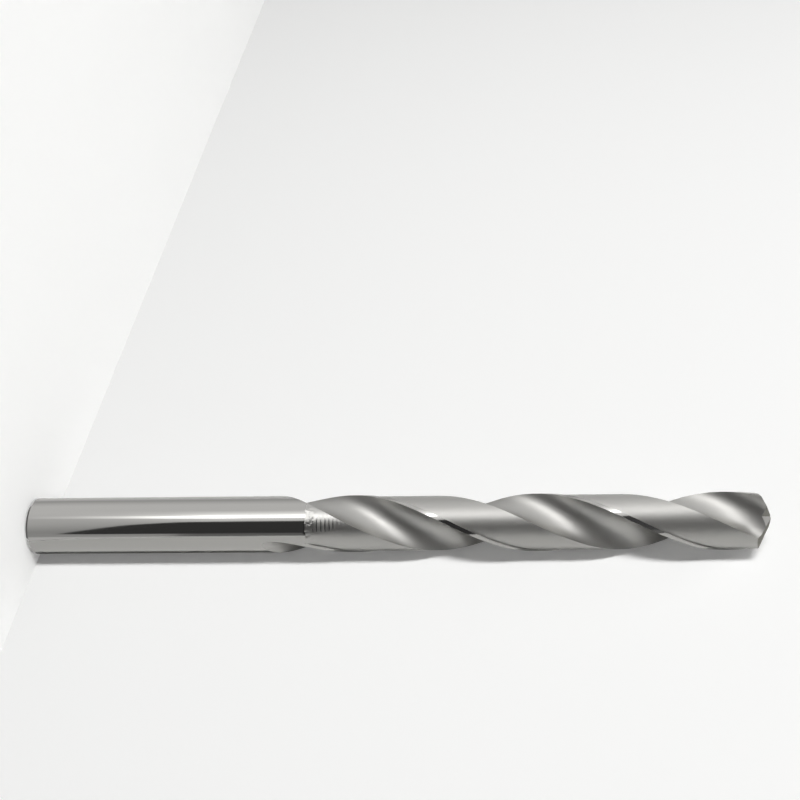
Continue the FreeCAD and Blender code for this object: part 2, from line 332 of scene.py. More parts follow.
# %% [markdown]
# The notch that splits the chisel edge is cut last, by a finer wheel. Its floor is given a colour
# lighter than the rest of the carbide: a painted highlight for the light that falls there. It is
# small, so only a fine, slightly uneven matt shows; that grain and its roughness are real.

# %% Fine cut of the notch's floor, with a painted highlight
# The lighter colour paints a highlight on the notch's floor; the carbide itself is no paler there.
NOTCH_FLOOR_PAINTED_HIGHLIGHT = "cfcecb"
FINE_GRAINS_PER_MILLIMETRE = 6
fine_cut_painted_highlight, tree, shader = bare_metal("wheel_cut_painted_highlight_carbide", NOTCH_FLOOR_PAINTED_HIGHLIGHT)
place = add(tree, "ShaderNodeTexCoord").outputs["Object"]
grain_scale = FINE_GRAINS_PER_MILLIMETRE / MILLIMETRE
grain = add(tree, "ShaderNodeTexNoise", {"Vector": place, "Scale": grain_scale, "Detail": 3.0})
roughen(tree, shader, grain, strength=0.3, depth=0.006, roughness=(0.38, 0.52))
print("Made", fine_cut_painted_highlight.name)

# %% [markdown]
# The flanks, the heel facets and the rake side of the notch are cut by a rougher wheel, and their
# grain and roughness are real. Their colour is darker than the rest of the carbide: painted shade,
# for the grooves that hide the light from each other. A metal would turn white seen nearly edge-on,
# so the tint of its reflections there is a grey too, which also paints shade.

# %% Coarse cut of the other facets, with painted shade
# The darker colour and the grey edge-on tint paint shade on these facets.
COARSE_CUT_PAINTED_SHADE = "908f89"
EDGE_ON_PAINTED_SHADE = "c0bfba"
COARSE_GRAINS_PER_MILLIMETRE = 4
coarse_cut_painted_shade, tree, shader = bare_metal("coarse_cut_painted_shade_carbide", COARSE_CUT_PAINTED_SHADE)
shader.inputs["Specular Tint"].default_value = linear(EDGE_ON_PAINTED_SHADE)
place = add(tree, "ShaderNodeTexCoord").outputs["Object"]
grain_scale = COARSE_GRAINS_PER_MILLIMETRE / MILLIMETRE
grain = add(tree, "ShaderNodeTexNoise", {"Vector": place, "Scale": grain_scale, "Detail": 3.0})
roughen(tree, shader, grain, strength=0.4, depth=0.01, roughness=(0.42, 0.58))
print("Made", coarse_cut_painted_shade.name)

# %% [markdown]
# The twisted body follows a rule, so Geometry Nodes make it. A grid is rolled round the axis. Its
# columns keep to the features all along the helix: each half turn has a stretch for the flute, one
# for the land, one for the small wall of the margin and one for the margin. Its rows are close
# together where the flutes run out. Merging the seam and the two ends closes the skin. A Screw
# modifier could sweep one section along the helix, but here the section changes where the flutes run
# out and where the grinding of the lands begins.

# %% Columns and rows of the grid
COLUMNS = {"flute": 64, "land": 28, "wall": 1, "margin": 4}
half_columns = sum(COLUMNS.values())
column_stops = [columns / half_columns for columns in accumulate(COLUMNS.values(), initial=0)]
FLUTE_END, LAND_END, WALL_END = column_stops[1:4]
HALF_COLUMN = 0.5 / half_columns

BEFORE_RUNOUT = shank_length - 0.5
AFTER_RUN_IN = LENGTH - LAND_LENGTH + 0.3
ABOVE_POINT = crown_height + 1.0
ROWS = (
    (1, 0.0),
    (1, SHANK_CHAMFER),
    (8, BEFORE_RUNOUT),
    (90, AFTER_RUN_IN),
    (204, ABOVE_POINT),
    (1, ABOVE_POINT),
)
row_count = sum(rows for rows, height in ROWS)
row_stops = [rows / row_count for rows in accumulate((rows for rows, height in ROWS), initial=0)]
heights = [0.0] + [height for rows, height in ROWS]
row_rises = [end - start for start, end in zip(heights, heights[1:])]
print(f"The grid has {2 * half_columns} columns and {row_count} rows")

# %% [markdown]
# Three small formulas serve the tree: a value that climbs in stretches, the angle at the middle of a
# flute's circle where the circle meets the rod, and the direction and distance, seen from the rod's
# axis, of a place on the flute's circle. On the shank, where no flute is left, its columns still keep
# a width, so that the grid never folds.

# %% Formulas of the section
NARROWEST = math.radians(8)


def in_stretches(tree, value, stops, rises):
    """The sum of what each stretch between two stops adds."""
    total = 0.0
    for start, end, rise in zip(stops, stops[1:], rises):
        step = add(tree, MAP_RANGE, (value, start, end, 0, rise))
        total = add(tree, MATH, (total, step), operation="ADD")
    return total


def flute_end(tree, centre, flute_radius, radius):
    """Angle at the middle of the flute's circle, from its deepest place to the circle of the rod."""
    squares = add(tree, MATH, (centre, centre), operation="MULTIPLY")
    squares = add(tree, MATH, (flute_radius, flute_radius, squares), operation="MULTIPLY_ADD")
    rod = add(tree, MATH, (radius, radius), operation="MULTIPLY")
    top = add(tree, MATH, (squares, rod), operation="SUBTRACT")
    product = add(tree, MATH, (centre, flute_radius), operation="MULTIPLY")
    twice = add(tree, MATH, (product, 2.0), operation="MULTIPLY")
    cosine = add(tree, MATH, (top, twice), operation="DIVIDE")
    cosine = add(tree, MATH, (cosine, math.cos(NARROWEST)), operation="MINIMUM")
    return add(tree, MATH, (cosine,), operation="ARCCOSINE")


def on_flute(tree, centre, flute_radius, arc):
    """Direction and distance from the axis to the place at an angle on the flute's circle."""
    inward = add(tree, MATH, (arc,), operation="COSINE")
    inward = add(tree, MATH, (inward, flute_radius), operation="MULTIPLY")
    forward = add(tree, MATH, (centre, inward), operation="SUBTRACT")
    aside = add(tree, MATH, (arc,), operation="SINE")
    aside = add(tree, MATH, (aside, flute_radius), operation="MULTIPLY")
    squares = add(tree, MATH, (forward, forward), operation="MULTIPLY")
    squares = add(tree, MATH, (aside, aside, squares), operation="MULTIPLY_ADD")
    direction = add(tree, MATH, (aside, forward), operation="ARCTAN2")
    return direction, add(tree, MATH, (squares,), operation="SQRT")


print(f"A flute keeps at least {math.degrees(NARROWEST):.0f} degrees of its circle on each side")

# %% [markdown]
# Each size is a named input of the tree, so a different drill only needs other numbers.

# %% The tree and its inputs
SIZES = {
    "Length": LENGTH, "Radius": rod_radius, "Shank Radius": SHANK_DIAMETER / 2, "Chamfer": SHANK_CHAMFER,
    "Shank Length": shank_length, "Flute Radius": FLUTE_RADIUS, "Half Web": half_web,
    "Web Growth": WEB_GROWTH, "Twist": twist, "Tip Turn": tip_turn, "Full Flute": FULL_FLUTE,
    "Run-out": RUNOUT, "Margin": MARGIN, "Land Depth": LAND_DEPTH, "Land Length": LAND_LENGTH,
    "Run-in": LAND_RUN_IN,
}
tree = bpy.data.node_groups.new("fluted_body", "GeometryNodeTree")
tree.interface.new_socket("Geometry", in_out="OUTPUT", socket_type="NodeSocketGeometry")
for name in SIZES:
    tree.interface.new_socket(name, in_out="INPUT", socket_type="NodeSocketFloat")
body_tree = tree
given = add(tree, "NodeGroupInput").outputs
grid = add(tree, "GeometryNodeMeshGrid", {"Vertices X": 2 * half_columns + 1, "Vertices Y": row_count + 1})
across, along = add(tree, "ShaderNodeSeparateXYZ", (grid.outputs["UV Map"],)).outputs[:2]
print("The tree takes", ", ".join(SIZES))

# %% [markdown]
# Height first: it gives how far back from the point a row lies, how thick the web is there, how far
# the flute has climbed out of the rod, and how deep the land is ground.

# %% Height, web and run-out
height = in_stretches(tree, along, row_stops, row_rises)
back = add(tree, MATH, (given["Length"], height), operation="SUBTRACT")
web = add(tree, MATH, (back, given["Web Growth"], given["Half Web"]), operation="MULTIPLY_ADD")
exit_at = add(tree, MATH, (given["Full Flute"], given["Run-out"]), operation="ADD")
exit_web = add(tree, MATH, (exit_at, given["Web Growth"], given["Half Web"]), operation="MULTIPLY_ADD")
rise = add(tree, MATH, (given["Radius"], exit_web), operation="SUBTRACT")
beyond = add(tree, MATH, (back, given["Full Flute"]), operation="SUBTRACT")
beyond = add(tree, MATH, (beyond, 0.0), operation="MAXIMUM")
beyond = add(tree, MATH, (beyond, given["Run-out"]), operation="DIVIDE")
climb = add(tree, MATH, (beyond, beyond), operation="MULTIPLY")
web = add(tree, MATH, (climb, rise, web), operation="MULTIPLY_ADD")
centre = add(tree, MATH, (web, given["Flute Radius"]), operation="ADD")

taper = (height, given["Shank Length"], ABOVE_POINT, given["Shank Radius"], given["Radius"])
outside = add(tree, MAP_RANGE, taper)
ground_from = add(tree, MATH, (given["Length"], given["Land Length"]), operation="SUBTRACT")
ground_at = add(tree, MATH, (ground_from, given["Run-in"]), operation="SUBTRACT")
depth = add(tree, MAP_RANGE, (height, ground_at, ground_from, 0, given["Land Depth"]))
land_radius = add(tree, MATH, (outside, depth), operation="SUBTRACT")
print(f"The web is {WEB + 2 * WEB_GROWTH * FULL_FLUTE:.2f} mm thick where the run-out begins")

# %% [markdown]
# Then the turn round the axis. Each half turn runs from a flute's leading edge over the flute to its
# heel, and on over the land and the margin to the next leading edge. In the flute the columns follow
# the flute's own circle, because its walls stand so steep that they overhang, and elsewhere they
# follow the rod. A nudge much smaller than a column keeps rounding from putting a half's first column
# in the half before it.

# %% Angles of the columns
WALL_ANGLE = math.radians(0.3)
NUDGE = HALF_COLUMN / 4
doubled = add(tree, MATH, (across, 2.0), operation="MULTIPLY")
which_half = add(tree, MATH, (doubled, NUDGE), operation="ADD")
which_half = add(tree, MATH, (which_half,), operation="FLOOR")
part = add(tree, MATH, (doubled, which_half), operation="SUBTRACT")
lead_arc = flute_end(tree, centre, given["Flute Radius"], outside)
heel_arc = flute_end(tree, centre, given["Flute Radius"], land_radius)
flute_share = add(tree, MATH, (part, FLUTE_END), operation="DIVIDE")
flute_arc = add(tree, MATH, (lead_arc, heel_arc), operation="ADD")
flute_arc = add(tree, MATH, (flute_share, flute_arc), operation="MULTIPLY")
flute_arc = add(tree, MATH, (flute_arc, lead_arc), operation="SUBTRACT")
flute_angle, flute_reach = on_flute(tree, centre, given["Flute Radius"], flute_arc)

lead_side = on_flute(tree, centre, given["Flute Radius"], lead_arc)[0]
heel_side = on_flute(tree, centre, given["Flute Radius"], heel_arc)[0]
margin_angle = add(tree, MATH, (given["Margin"], given["Radius"]), operation="DIVIDE")
taken = add(tree, MATH, (lead_side, heel_side), operation="ADD")
taken = add(tree, MATH, (taken, margin_angle), operation="ADD")
land_angle = add(tree, MATH, (math.pi - WALL_ANGLE, taken), operation="SUBTRACT")
rod_angle = in_stretches(tree, part, column_stops[1:], (land_angle, WALL_ANGLE, margin_angle))
rod_angle = add(tree, MATH, (rod_angle, heel_side), operation="ADD")
print(f"A margin takes {math.degrees(MARGIN / rod_radius):.1f} degrees of each half turn")

# %% [markdown]
# Last the distance from the axis: the flute where it is below the surface, the ground-back land, or
# the full radius on the margin and the shank. The chamfer is a cone that cuts off the shank's rim,
# and the first and last rows shrink to a point in the middle of the ends.

# %% Distance from the axis
in_rod = add(tree, MATH, (flute_reach, outside), operation="MINIMUM")
on_land = add(tree, MATH, (part, LAND_END + HALF_COLUMN), operation="LESS_THAN")
rim = add(tree, "GeometryNodeSwitch", (on_land, outside, land_radius), input_type="FLOAT")
in_flute = add(tree, MATH, (part, FLUTE_END - HALF_COLUMN), operation="LESS_THAN")
skin = add(tree, "GeometryNodeSwitch", (in_flute, rim, in_rod), input_type="FLOAT")
angle = add(tree, "GeometryNodeSwitch", (in_flute, rod_angle, flute_angle), input_type="FLOAT")
flat_end = add(tree, MATH, (given["Shank Radius"], given["Chamfer"]), operation="SUBTRACT")
cone = add(tree, MATH, (flat_end, height), operation="ADD")
radius = add(tree, MATH, (skin, cone), operation="MINIMUM")
shut_below = add(tree, MAP_RANGE, (along, 0, row_stops[1], 0, 1))
shut_above = add(tree, MAP_RANGE, (along, row_stops[-2], 1, 1, 0))
radius = add(tree, MATH, (radius, shut_below), operation="MULTIPLY")
radius = add(tree, MATH, (radius, shut_above), operation="MULTIPLY")
print(f"The land lies {rod_radius - LAND_DEPTH:.3f} mm from the axis")

# %% [markdown]
# The turn of the helix and the half turn of the second flute come on top, and the grid takes its
# place. On the plain shank the helix stops, so the grid runs straight there. The attribute lay holds
# each point's place across the flute and its distance from the tip, for the satin's lines.

# %% Roll up the grid
TWISTED_LENGTH = LENGTH - BEFORE_RUNOUT
twisted_back = add(tree, MATH, (back, TWISTED_LENGTH), operation="MINIMUM")
unwound = add(tree, MATH, (twisted_back, given["Twist"]), operation="MULTIPLY")
turn = add(tree, MATH, (given["Tip Turn"], unwound), operation="SUBTRACT")
turn = add(tree, MATH, (turn, angle), operation="ADD")
turn = add(tree, MATH, (which_half, math.pi, turn), operation="MULTIPLY_ADD")
east = add(tree, MATH, (turn,), operation="COSINE")
east = add(tree, MATH, (east, radius), operation="MULTIPLY")
north = add(tree, MATH, (turn,), operation="SINE")
north = add(tree, MATH, (north, radius), operation="MULTIPLY")
spot = add(tree, "ShaderNodeCombineXYZ", (east, north, height))
metres = add(tree, "ShaderNodeVectorMath", {0: spot, "Scale": MILLIMETRE}, operation="SCALE")
lay_across = add(tree, MATH, (flute_arc, given["Flute Radius"]), operation="MULTIPLY")
lay = add(tree, "ShaderNodeCombineXYZ", (lay_across, back, which_half))
marked = add(
    tree, "GeometryNodeStoreNamedAttribute", {"Geometry": grid.outputs["Mesh"], "Name": "lay", "Value": lay},
    data_type="FLOAT_VECTOR", domain="POINT",
)
rolled = add(tree, "GeometryNodeSetPosition", {"Geometry": marked, "Position": metres})
print(f"The helix turns through {math.degrees(twist * TWISTED_LENGTH):.0f} degrees")

# %% [markdown]
# Each face gets the finish of the wheel that ground it: satin where the flute is below the surface,
# the land's own finish where the land is ground back, and the lapped finish elsewhere. The land's
# finish starts along an uneven edge, because a wheel never comes in along a clean line.

# %% Give each face its finish
SHALLOWEST_FLUTE = 0.003
EDGE_WANDER = 0.5
EDGE_WANDERS_PER_MILLIMETRE = 1.5
WELD = 0.0005
sunk = add(tree, MATH, (outside, flute_reach), operation="SUBTRACT")
sunk = add(tree, MATH, (sunk, SHALLOWEST_FLUTE), operation="GREATER_THAN")
flute_columns = add(tree, MATH, (part, FLUTE_END), operation="LESS_THAN")
flute_faces = add(tree, MATH, (flute_columns, sunk), operation="MULTIPLY")
past_flute = add(tree, MATH, (part, FLUTE_END), operation="GREATER_THAN")
before_margin = add(tree, MATH, (part, WALL_END), operation="LESS_THAN")
spot = add(tree, "GeometryNodeInputPosition")
edge_scale = EDGE_WANDERS_PER_MILLIMETRE / MILLIMETRE
uneven = add(tree, "ShaderNodeTexNoise", {"Vector": spot, "Scale": edge_scale, "Detail": 2.0})
ground_edge = add(tree, MATH, (uneven, EDGE_WANDER, ground_at), operation="MULTIPLY_ADD")
ground = add(tree, MATH, (height, ground_edge), operation="GREATER_THAN")
land_faces = add(tree, MATH, (past_flute, before_margin), operation="MULTIPLY")
land_faces = add(tree, MATH, (land_faces, ground), operation="MULTIPLY")

welded = add(tree, "GeometryNodeMergeByDistance", {"Geometry": rolled, "Distance": WELD * MILLIMETRE})
smooth = add(tree, "GeometryNodeSetShadeSmooth", {"Geometry": welded})
real = add(tree, "GeometryNodeRealizeInstances", {"Geometry": smooth})
coat = add(tree, "GeometryNodeSetMaterial", {"Geometry": real, "Material": lapped})
for faces, finish in ((flute_faces, satin), (land_faces, land_ground)):
    coat = add(tree, "GeometryNodeSetMaterial", {"Geometry": coat, "Selection": faces, "Material": finish})
add(tree, "NodeGroupOutput", (coat,))
print("The tree has", len(tree.nodes), "nodes")

# %% [markdown]
# A modifier runs the tree on an empty object. Its inputs are set by their identifiers before the
# object is first evaluated, and the result is turned into a plain mesh.

# %% Run the tree


def plain_mesh(obj, name):
    """The object's evaluated shape as a mesh of its own."""
    graph = bpy.context.evaluated_depsgraph_get()
    mesh = bpy.data.meshes.new_from_object(obj.evaluated_get(graph), depsgraph=graph)
    mesh.name = name
    return mesh


drill = in_scene("ground_drill", bpy.data.meshes.new("unground"))
runner = drill.modifiers.new("fluted_body", "NODES")
runner.node_group = body_tree
for item in body_tree.interface.items_tree:
    if item.in_out == "INPUT":
        runner[item.identifier] = SIZES[item.name]
fluted = plain_mesh(drill, "fluted_body")
drill.modifiers.remove(runner)
drill.data = fluted
print(f"The fluted body has {len(fluted.polygons)} faces")

# %% [markdown]
# The point is made as in the grinding machine: flat wheels take metal off the twisted body. Each
# wheel is a plain block that is tilted into place. The flank and the heel are cut by the underside of
# a square block. The notch is cut by two sides of a block that hangs down into the drill: the first
# side is its rake side, which is coarse and darker with painted shade, and the last one is its floor,
# which is lighter with a painted highlight.

# %% Blocks that cut the point
BLOCK = 2 * DIAMETER


def block(name, outline, depth, place, finish, first_side):
    """A prism from an outline at zero to a depth, set in place in millimetres. It has one finish,
    apart from the side on the outline's first edge, which has its own."""
    shape = bmesh.new()
    base = [shape.verts.new((x, y, 0)) for x, y in outline]
    top = [shape.verts.new((x, y, depth)) for x, y in outline]
    shape.faces.new(base)
    shape.faces.new(top)
    for index in range(len(outline)):
        following = (index + 1) % len(outline)
        side = shape.faces.new((base[index], base[following], top[following], top[index]))
        side.material_index = 1 if index == 0 else 0
    bmesh.ops.recalc_face_normals(shape, faces=shape.faces)
    bmesh.ops.transform(shape, matrix=Matrix.Scale(MILLIMETRE, 4) @ place, verts=shape.verts)
    mesh = bpy.data.meshes.new(name)
    shape.to_mesh(mesh)
    shape.free()
    mesh.materials.append(finish)
    mesh.materials.append(first_side)
    return in_scene(name, mesh)


def tilted(x, z, yaw=0, pitch=0, roll=0):
    """A place on the XZ plane, turned about X, then Y, then Z, in degrees."""
    angles = [math.radians(value) for value in (roll, pitch, yaw)]
    return Matrix.Translation((x, 0, z)) @ Euler(angles).to_matrix().to_4x4()


def at_angle(reach, degrees):
    """A point of an outline, at a distance from its first point and an angle."""
    return (reach * math.cos(math.radians(degrees)), reach * math.sin(math.radians(degrees)))


square = ((-BLOCK, -BLOCK), (BLOCK, -BLOCK), (BLOCK, BLOCK), (-BLOCK, BLOCK))
rake_end = at_angle(DIAMETER, -NOTCH_RAKE_SIDE)
floor_end = at_angle(NOTCH_FLOOR_WIDTH, NOTCH_FLOOR_SIDE)
notch = ((0, 0), rake_end, (DIAMETER, rake_end[1]), (DIAMETER, floor_end[1]), floor_end)
heel_height = crown_height - HEEL_START * math.tan(math.radians(lip_slope))
flank_place = tilted(0, crown_height, 0, lip_slope, LIP_RELIEF)
heel_place = tilted(HEEL_START, heel_height, -HEEL_TURN, HEEL_SLOPE, HEEL_RELIEF)
notch_place = tilted(NOTCH_OFFSET, crown_height - NOTCH_DROP, NOTCH_TURN, -NOTCH_TILT)
WHEELS = (
    ("flank", square, DIAMETER, flank_place, coarse_cut_painted_shade),
    ("heel", square, DIAMETER, heel_place, coarse_cut_painted_shade),
    ("notch", notch, -DIAMETER, notch_place, fine_cut_painted_highlight),
)
print("Each side of the point has", len(WHEELS), "cuts")

# %% [markdown]
# A Boolean takes each block away, first on one side and then, half a turn on, on the other. The cut
# faces take the block's finish. The blocks go once the result is a plain mesh.

# %% Grind the point
wheels = []
for half_turn in (0, math.pi):
    for name, outline, depth, place, finish in WHEELS:
        turned_place = Matrix.Rotation(half_turn, 4, "Z") @ place
        wheel = block(name, outline, depth, turned_place, finish, coarse_cut_painted_shade)
        cut = drill.modifiers.new(name, "BOOLEAN")
        cut.object = wheel
        cut.operation = "DIFFERENCE"
        cut.solver = "MANIFOLD"
        cut.material_mode = "TRANSFER"
        wheels.append(wheel)
ground_mesh = plain_mesh(drill, "ground_drill")
drill.modifiers.clear()
drill.data = ground_mesh
for wheel in wheels:
    bpy.data.objects.remove(wheel)
print(f"The ground drill has {len(ground_mesh.polygons)} faces")

# %% [markdown]
# Ground edges are crisp. Every edge where two faces meet at more than a few degrees is marked sharp,
# and the rest stays smooth, so the reflections run without facets. The cuts of the point are flat.

# %% Crisp edges
SHARP = math.radians(14)
for polygon in ground_mesh.polygons:
    polygon.use_smooth = True
ground_mesh.set_sharp_from_angle(angle=SHARP)
for polygon in ground_mesh.polygons:
    if ground_mesh.materials[polygon.material_index] in (fine_cut_painted_highlight, coarse_cut_painted_shade):
        polygon.use_smooth = False
print("Flat faces at the point:", sum(not polygon.use_smooth for polygon in ground_mesh.polygons))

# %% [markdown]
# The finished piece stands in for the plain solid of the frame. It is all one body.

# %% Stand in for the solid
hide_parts("drill_bit")
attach(drill, "root")
print(drill.name, "replaces the plain solid")

# %% [markdown]
# The photograph looks down at the drill lying on its side. Here the drill stands on its shank end,
# so the photograph's ground is a pale board behind the drill, which touches it. Three directions
# describe that picture: along the drill to the point, away from the lens, and up off the board.
# An angle round the drill is counted from straight away, over the side off the board, to the lens.

# %% Directions of the picture
AWAY_AZIMUTH = math.radians(119.2)
along_drill = Vector((0, 0, 1))
away = Vector((math.cos(AWAY_AZIMUTH), math.sin(AWAY_AZIMUTH), 0))
off_board = along_drill.cross(away)
picture = Matrix((along_drill, away, off_board)).transposed()


def out_at(degrees):
    """The direction out from the drill at an angle round it."""
    return away * math.cos(math.radians(degrees)) + off_board * math.sin(math.radians(degrees))


print("Off the board is", [round(value, 3) for value in off_board])

# %% [markdown]
# The lens is close, 11 cm from the drill, which gives the slight perspective. The camera's place is
# given in the picture's directions from the middle of the drill's lowest line, in millimetres.

# %% Camera
LENS_PLACE = Vector((7.735, -75.516, 86.090))
YAW, PITCH, ROLL = (math.radians(value) for value in (-4.70, 40.5, -3.93))
FOCAL_LENGTH = 44.73
NEAREST_SEEN = 10
aim = Vector((math.sin(YAW) * math.cos(PITCH), math.cos(YAW) * math.cos(PITCH), -math.sin(PITCH)))
level = Vector((math.cos(YAW), -math.sin(YAW), 0))
upright = level.cross(aim)
right = level * math.cos(ROLL) + upright * math.sin(ROLL)
upward = upright * math.cos(ROLL) - level * math.sin(ROLL)
origin = picture @ Vector((-LENGTH / 2, 0, rod_radius))
lens = bpy.data.cameras.new("close_lens")
lens.lens = FOCAL_LENGTH
lens.clip_start = NEAREST_SEEN * MILLIMETRE
camera = in_scene("camera", lens)
facing = (picture @ Matrix((right, upward, -aim)).transposed()).to_4x4()
place = (picture @ LENS_PLACE - origin) * MILLIMETRE
camera.matrix_world = Matrix.Translation(place) @ facing
bpy.context.scene.camera = camera
print("The camera stands at", [round(value / MILLIMETRE, 1) for value in place])

# %% [markdown]
# A pale floor carries the drill, and the pale board stands behind it. Seen from behind, the board
# would hide the drill, so its back is clear. Its foot goes below the floor, where the shank's mirror
# doesn't show its edge. A small haze, which only the camera sees, stands for the light of a bright
# room that fills a shadow. The floor isn't seen in mirrors and throws no light back, so the flutes
# keep the dark ends that they have in the photograph.

# %% Floor and board
PALE = "f3f3f2"
HAZE = 0.125
FLOOR_SIZE = 1.2
BOARD_WIDTH = 0.8
BOARD_HEIGHT = 0.5
BOARD_FOOT = 0.006


def pale_sheet(name, corners, one_sided):
    """A pale matt sheet, in metres, with a haze for the camera. A one-sided one has a clear back."""
    mesh = bpy.data.meshes.new(name)
    mesh.from_pydata(corners, [], [(0, 1, 2, 3)])
    material, tree = empty_material(name)
    matt = add(tree, "ShaderNodeBsdfDiffuse", (linear(PALE),))
    seen = add(tree, "ShaderNodeLightPath").outputs["Is Camera Ray"]
    lift = add(tree, MATH, (seen, HAZE), operation="MULTIPLY")
    haze = add(tree, "ShaderNodeEmission", {"Strength": lift})
    shader = add(tree, "ShaderNodeAddShader", (matt, haze))
    if one_sided:
        clear = add(tree, "ShaderNodeBsdfTransparent")
        back_side = add(tree, "ShaderNodeNewGeometry").outputs["Backfacing"]
        shader = add(tree, "ShaderNodeMixShader", (back_side, shader, clear))
    add(tree, "ShaderNodeOutputMaterial", (shader,))
    mesh.materials.append(material)
    sheet = in_scene(name, mesh)
    sheet.visible_shadow = False
    return sheet


half = FLOOR_SIZE / 2
floor_corners = [(-half, -half, 0), (half, -half, 0), (half, half, 0), (-half, half, 0)]
floor = pale_sheet("floor", floor_corners, one_sided=False)
floor.visible_glossy = False
floor.visible_diffuse = False
behind = -off_board * rod_radius * MILLIMETRE
side = away * BOARD_WIDTH / 2
top = behind + along_drill * BOARD_HEIGHT
foot = behind - along_drill * BOARD_FOOT
pale_sheet("board", [foot - side, top - side, top + side, foot + side], one_sided=True)
print("The board stands", rod_radius, "mm behind the drill's axis")

# %% [markdown]
# A mirror is lit by what it sees, so the drill needs a room. A tent of cloth could be modelled, but
# the world can draw it with no mesh at all. Only reflected rays see it: the camera sees plain white,
# and the matt floor and board have lamps of their own. The tent's brightness depends on the angle
# round the drill. Towards both ends of the drill the angle leans, so the tent's shades bend there.

# %% Angle round the tent
POINT_LEAN, POINT_LEAN_END, POINT_LEAN_POWER = 120, 0.6, 1.5
SHANK_LEAN, SHANK_LEAN_FROM = 95, 0.38
world = bpy.data.worlds.new("studio")
bpy.context.scene.world = world
world.use_nodes = True
world.cycles_visibility.diffuse = False
tree = world.node_tree
tree.nodes.clear()
sight = add(tree, "ShaderNodeTexCoord").outputs["Generated"]
turned = add(tree, "ShaderNodeMapping", {"Vector": sight, "Rotation": (0, 0, -AWAY_AZIMUTH)})
backward, sideward, onward = add(tree, "ShaderNodeSeparateXYZ", (turned,)).outputs
round_drill = add(tree, MATH, (sideward, backward), operation="ARCTAN2")
to_point = add(tree, MATH, (onward, 0.0), operation="MAXIMUM")
to_point = add(tree, MATH, (to_point, POINT_LEAN_END), operation="MINIMUM")
to_point = add(tree, MATH, (to_point, POINT_LEAN_POWER), operation="POWER")
leaning = add(tree, MATH, (to_point, math.radians(POINT_LEAN), round_drill), operation="MULTIPLY_ADD")
to_shank = add(tree, MATH, (onward, -SHANK_LEAN_FROM), operation="MINIMUM")
to_shank = add(tree, MATH, (to_shank, SHANK_LEAN_FROM), operation="ADD")
leaning = add(tree, MATH, (to_shank, math.radians(SHANK_LEAN), leaning), operation="MULTIPLY_ADD")
half_turn_share = add(tree, MATH, (leaning, math.pi), operation="DIVIDE")
most_lean = POINT_LEAN * POINT_LEAN_END ** POINT_LEAN_POWER
print(f"Towards the point the tent leans by up to {most_lean:.0f} degrees")

# %% [markdown]
# The tent is given in pairs of an angle in degrees and the brightness there. It is darker on the
# lens's side, apart from the part below the drill, and it is darkest steeply downwards, past the end
# of the shank. A Mix node's inputs 2 and 3 are its two numbers.

# %% Brightness of the tent
TENT = (
    (0, 0.8), (12, 0.54), (28, 0.77), (44, 0.95), (76, 0.94), (84, 0.9),
    (108, 0.76), (124, 0.72), (156, 0.48), (180, 0.52),
)
LENS_SIDE_FROM, LENS_SIDE_FULL, LENS_SIDE = 0.66, 0.72, 0.4
LENS_SIDE_ABOVE = -0.28
BELOW_FROM, BELOW_FULL, BELOW = -0.66, -0.54, 0.25
cloth = add(tree, "ShaderNodeValToRGB", (half_turn_share,))
stops = cloth.color_ramp.elements
for degrees, brightness in TENT[1:-1]:
    stops.new(degrees / 180)
for stop, (degrees, brightness) in zip(stops, TENT):
    stop.position = degrees / 180
    stop.color = (brightness, brightness, brightness, 1)
lens_side = add(tree, MAP_RANGE, (half_turn_share, LENS_SIDE_FROM, LENS_SIDE_FULL, 1, LENS_SIDE))
upper = add(tree, MATH, (onward, LENS_SIDE_ABOVE), operation="GREATER_THAN")
lens_side = add(tree, "ShaderNodeMix", {0: upper, 2: 1.0, 3: lens_side})
below = add(tree, MAP_RANGE, (onward, BELOW_FROM, BELOW_FULL, BELOW, 1))
strength = add(tree, MATH, (cloth, lens_side), operation="MULTIPLY")
strength = add(tree, MATH, (strength, below), operation="MULTIPLY")
seen = add(tree, "ShaderNodeLightPath").outputs["Is Camera Ray"]
strength = add(tree, "ShaderNodeMix", {0: seen, 2: strength, 3: 1.0})
glow = add(tree, "ShaderNodeBackground", {"Strength": strength, "Color": (1, 1, 1, 1)})
add(tree, "ShaderNodeOutputWorld", (glow,))
levels = [brightness for degrees, brightness in TENT]
print("Round the drill the brightness goes from", min(levels), "to", max(levels))

# %% [markdown]
# The floor and the board are lit by two soft lamps: a narrow one straight above the drill's side,
# which gives the tight shadow under it, and a wide one above its point. Mirror rays don't see them,
# since the tent stands for them there.

# %% Two soft lamps


def soft_lamp(name, angle, rise, distance, width, length, power):
    """A lamp at an angle round the drill and a rise towards its point, aimed at the drill's middle."""
    light = bpy.data.lights.new(name, "AREA")
    light.shape = "RECTANGLE"
    light.size = length
    light.size_y = width
    light.energy = power
    towards = out_at(angle) * math.cos(math.radians(rise)) + along_drill * math.sin(math.radians(rise))
    aside = towards.cross(along_drill).normalized()
    lengthwise = aside.cross(towards)
    facing = Matrix((lengthwise, -aside, towards)).transposed().to_4x4()
    place = along_drill * LENGTH / 2 * MILLIMETRE + towards * distance
    lamp = in_scene(name, light)
    lamp.matrix_world = Matrix.Translation(place) @ facing
    lamp.visible_glossy = False
    print(f"{name} gives {power} W")


soft_lamp("side_lamp", angle=92, rise=12, distance=0.6, width=0.1, length=0.4, power=2.98)
soft_lamp("top_lamp", angle=90, rise=72, distance=0.8, width=0.9, length=0.25, power=2.85)

# %% [markdown]
# Two things hang in the tent, where only mirror rays can see them. One is a long bent strip light, 6
# to 10 cm from the drill, which draws the white streak along the shank and the bright band in every
# flute. The other is the dark opening that the lens looks through, 10 cm from the drill. It draws the
# black streak, which tapers off near the shank's end. Both are sheets of small glowing faces, built
# row by row along the drill.

# %% A glowing sheet round the drill


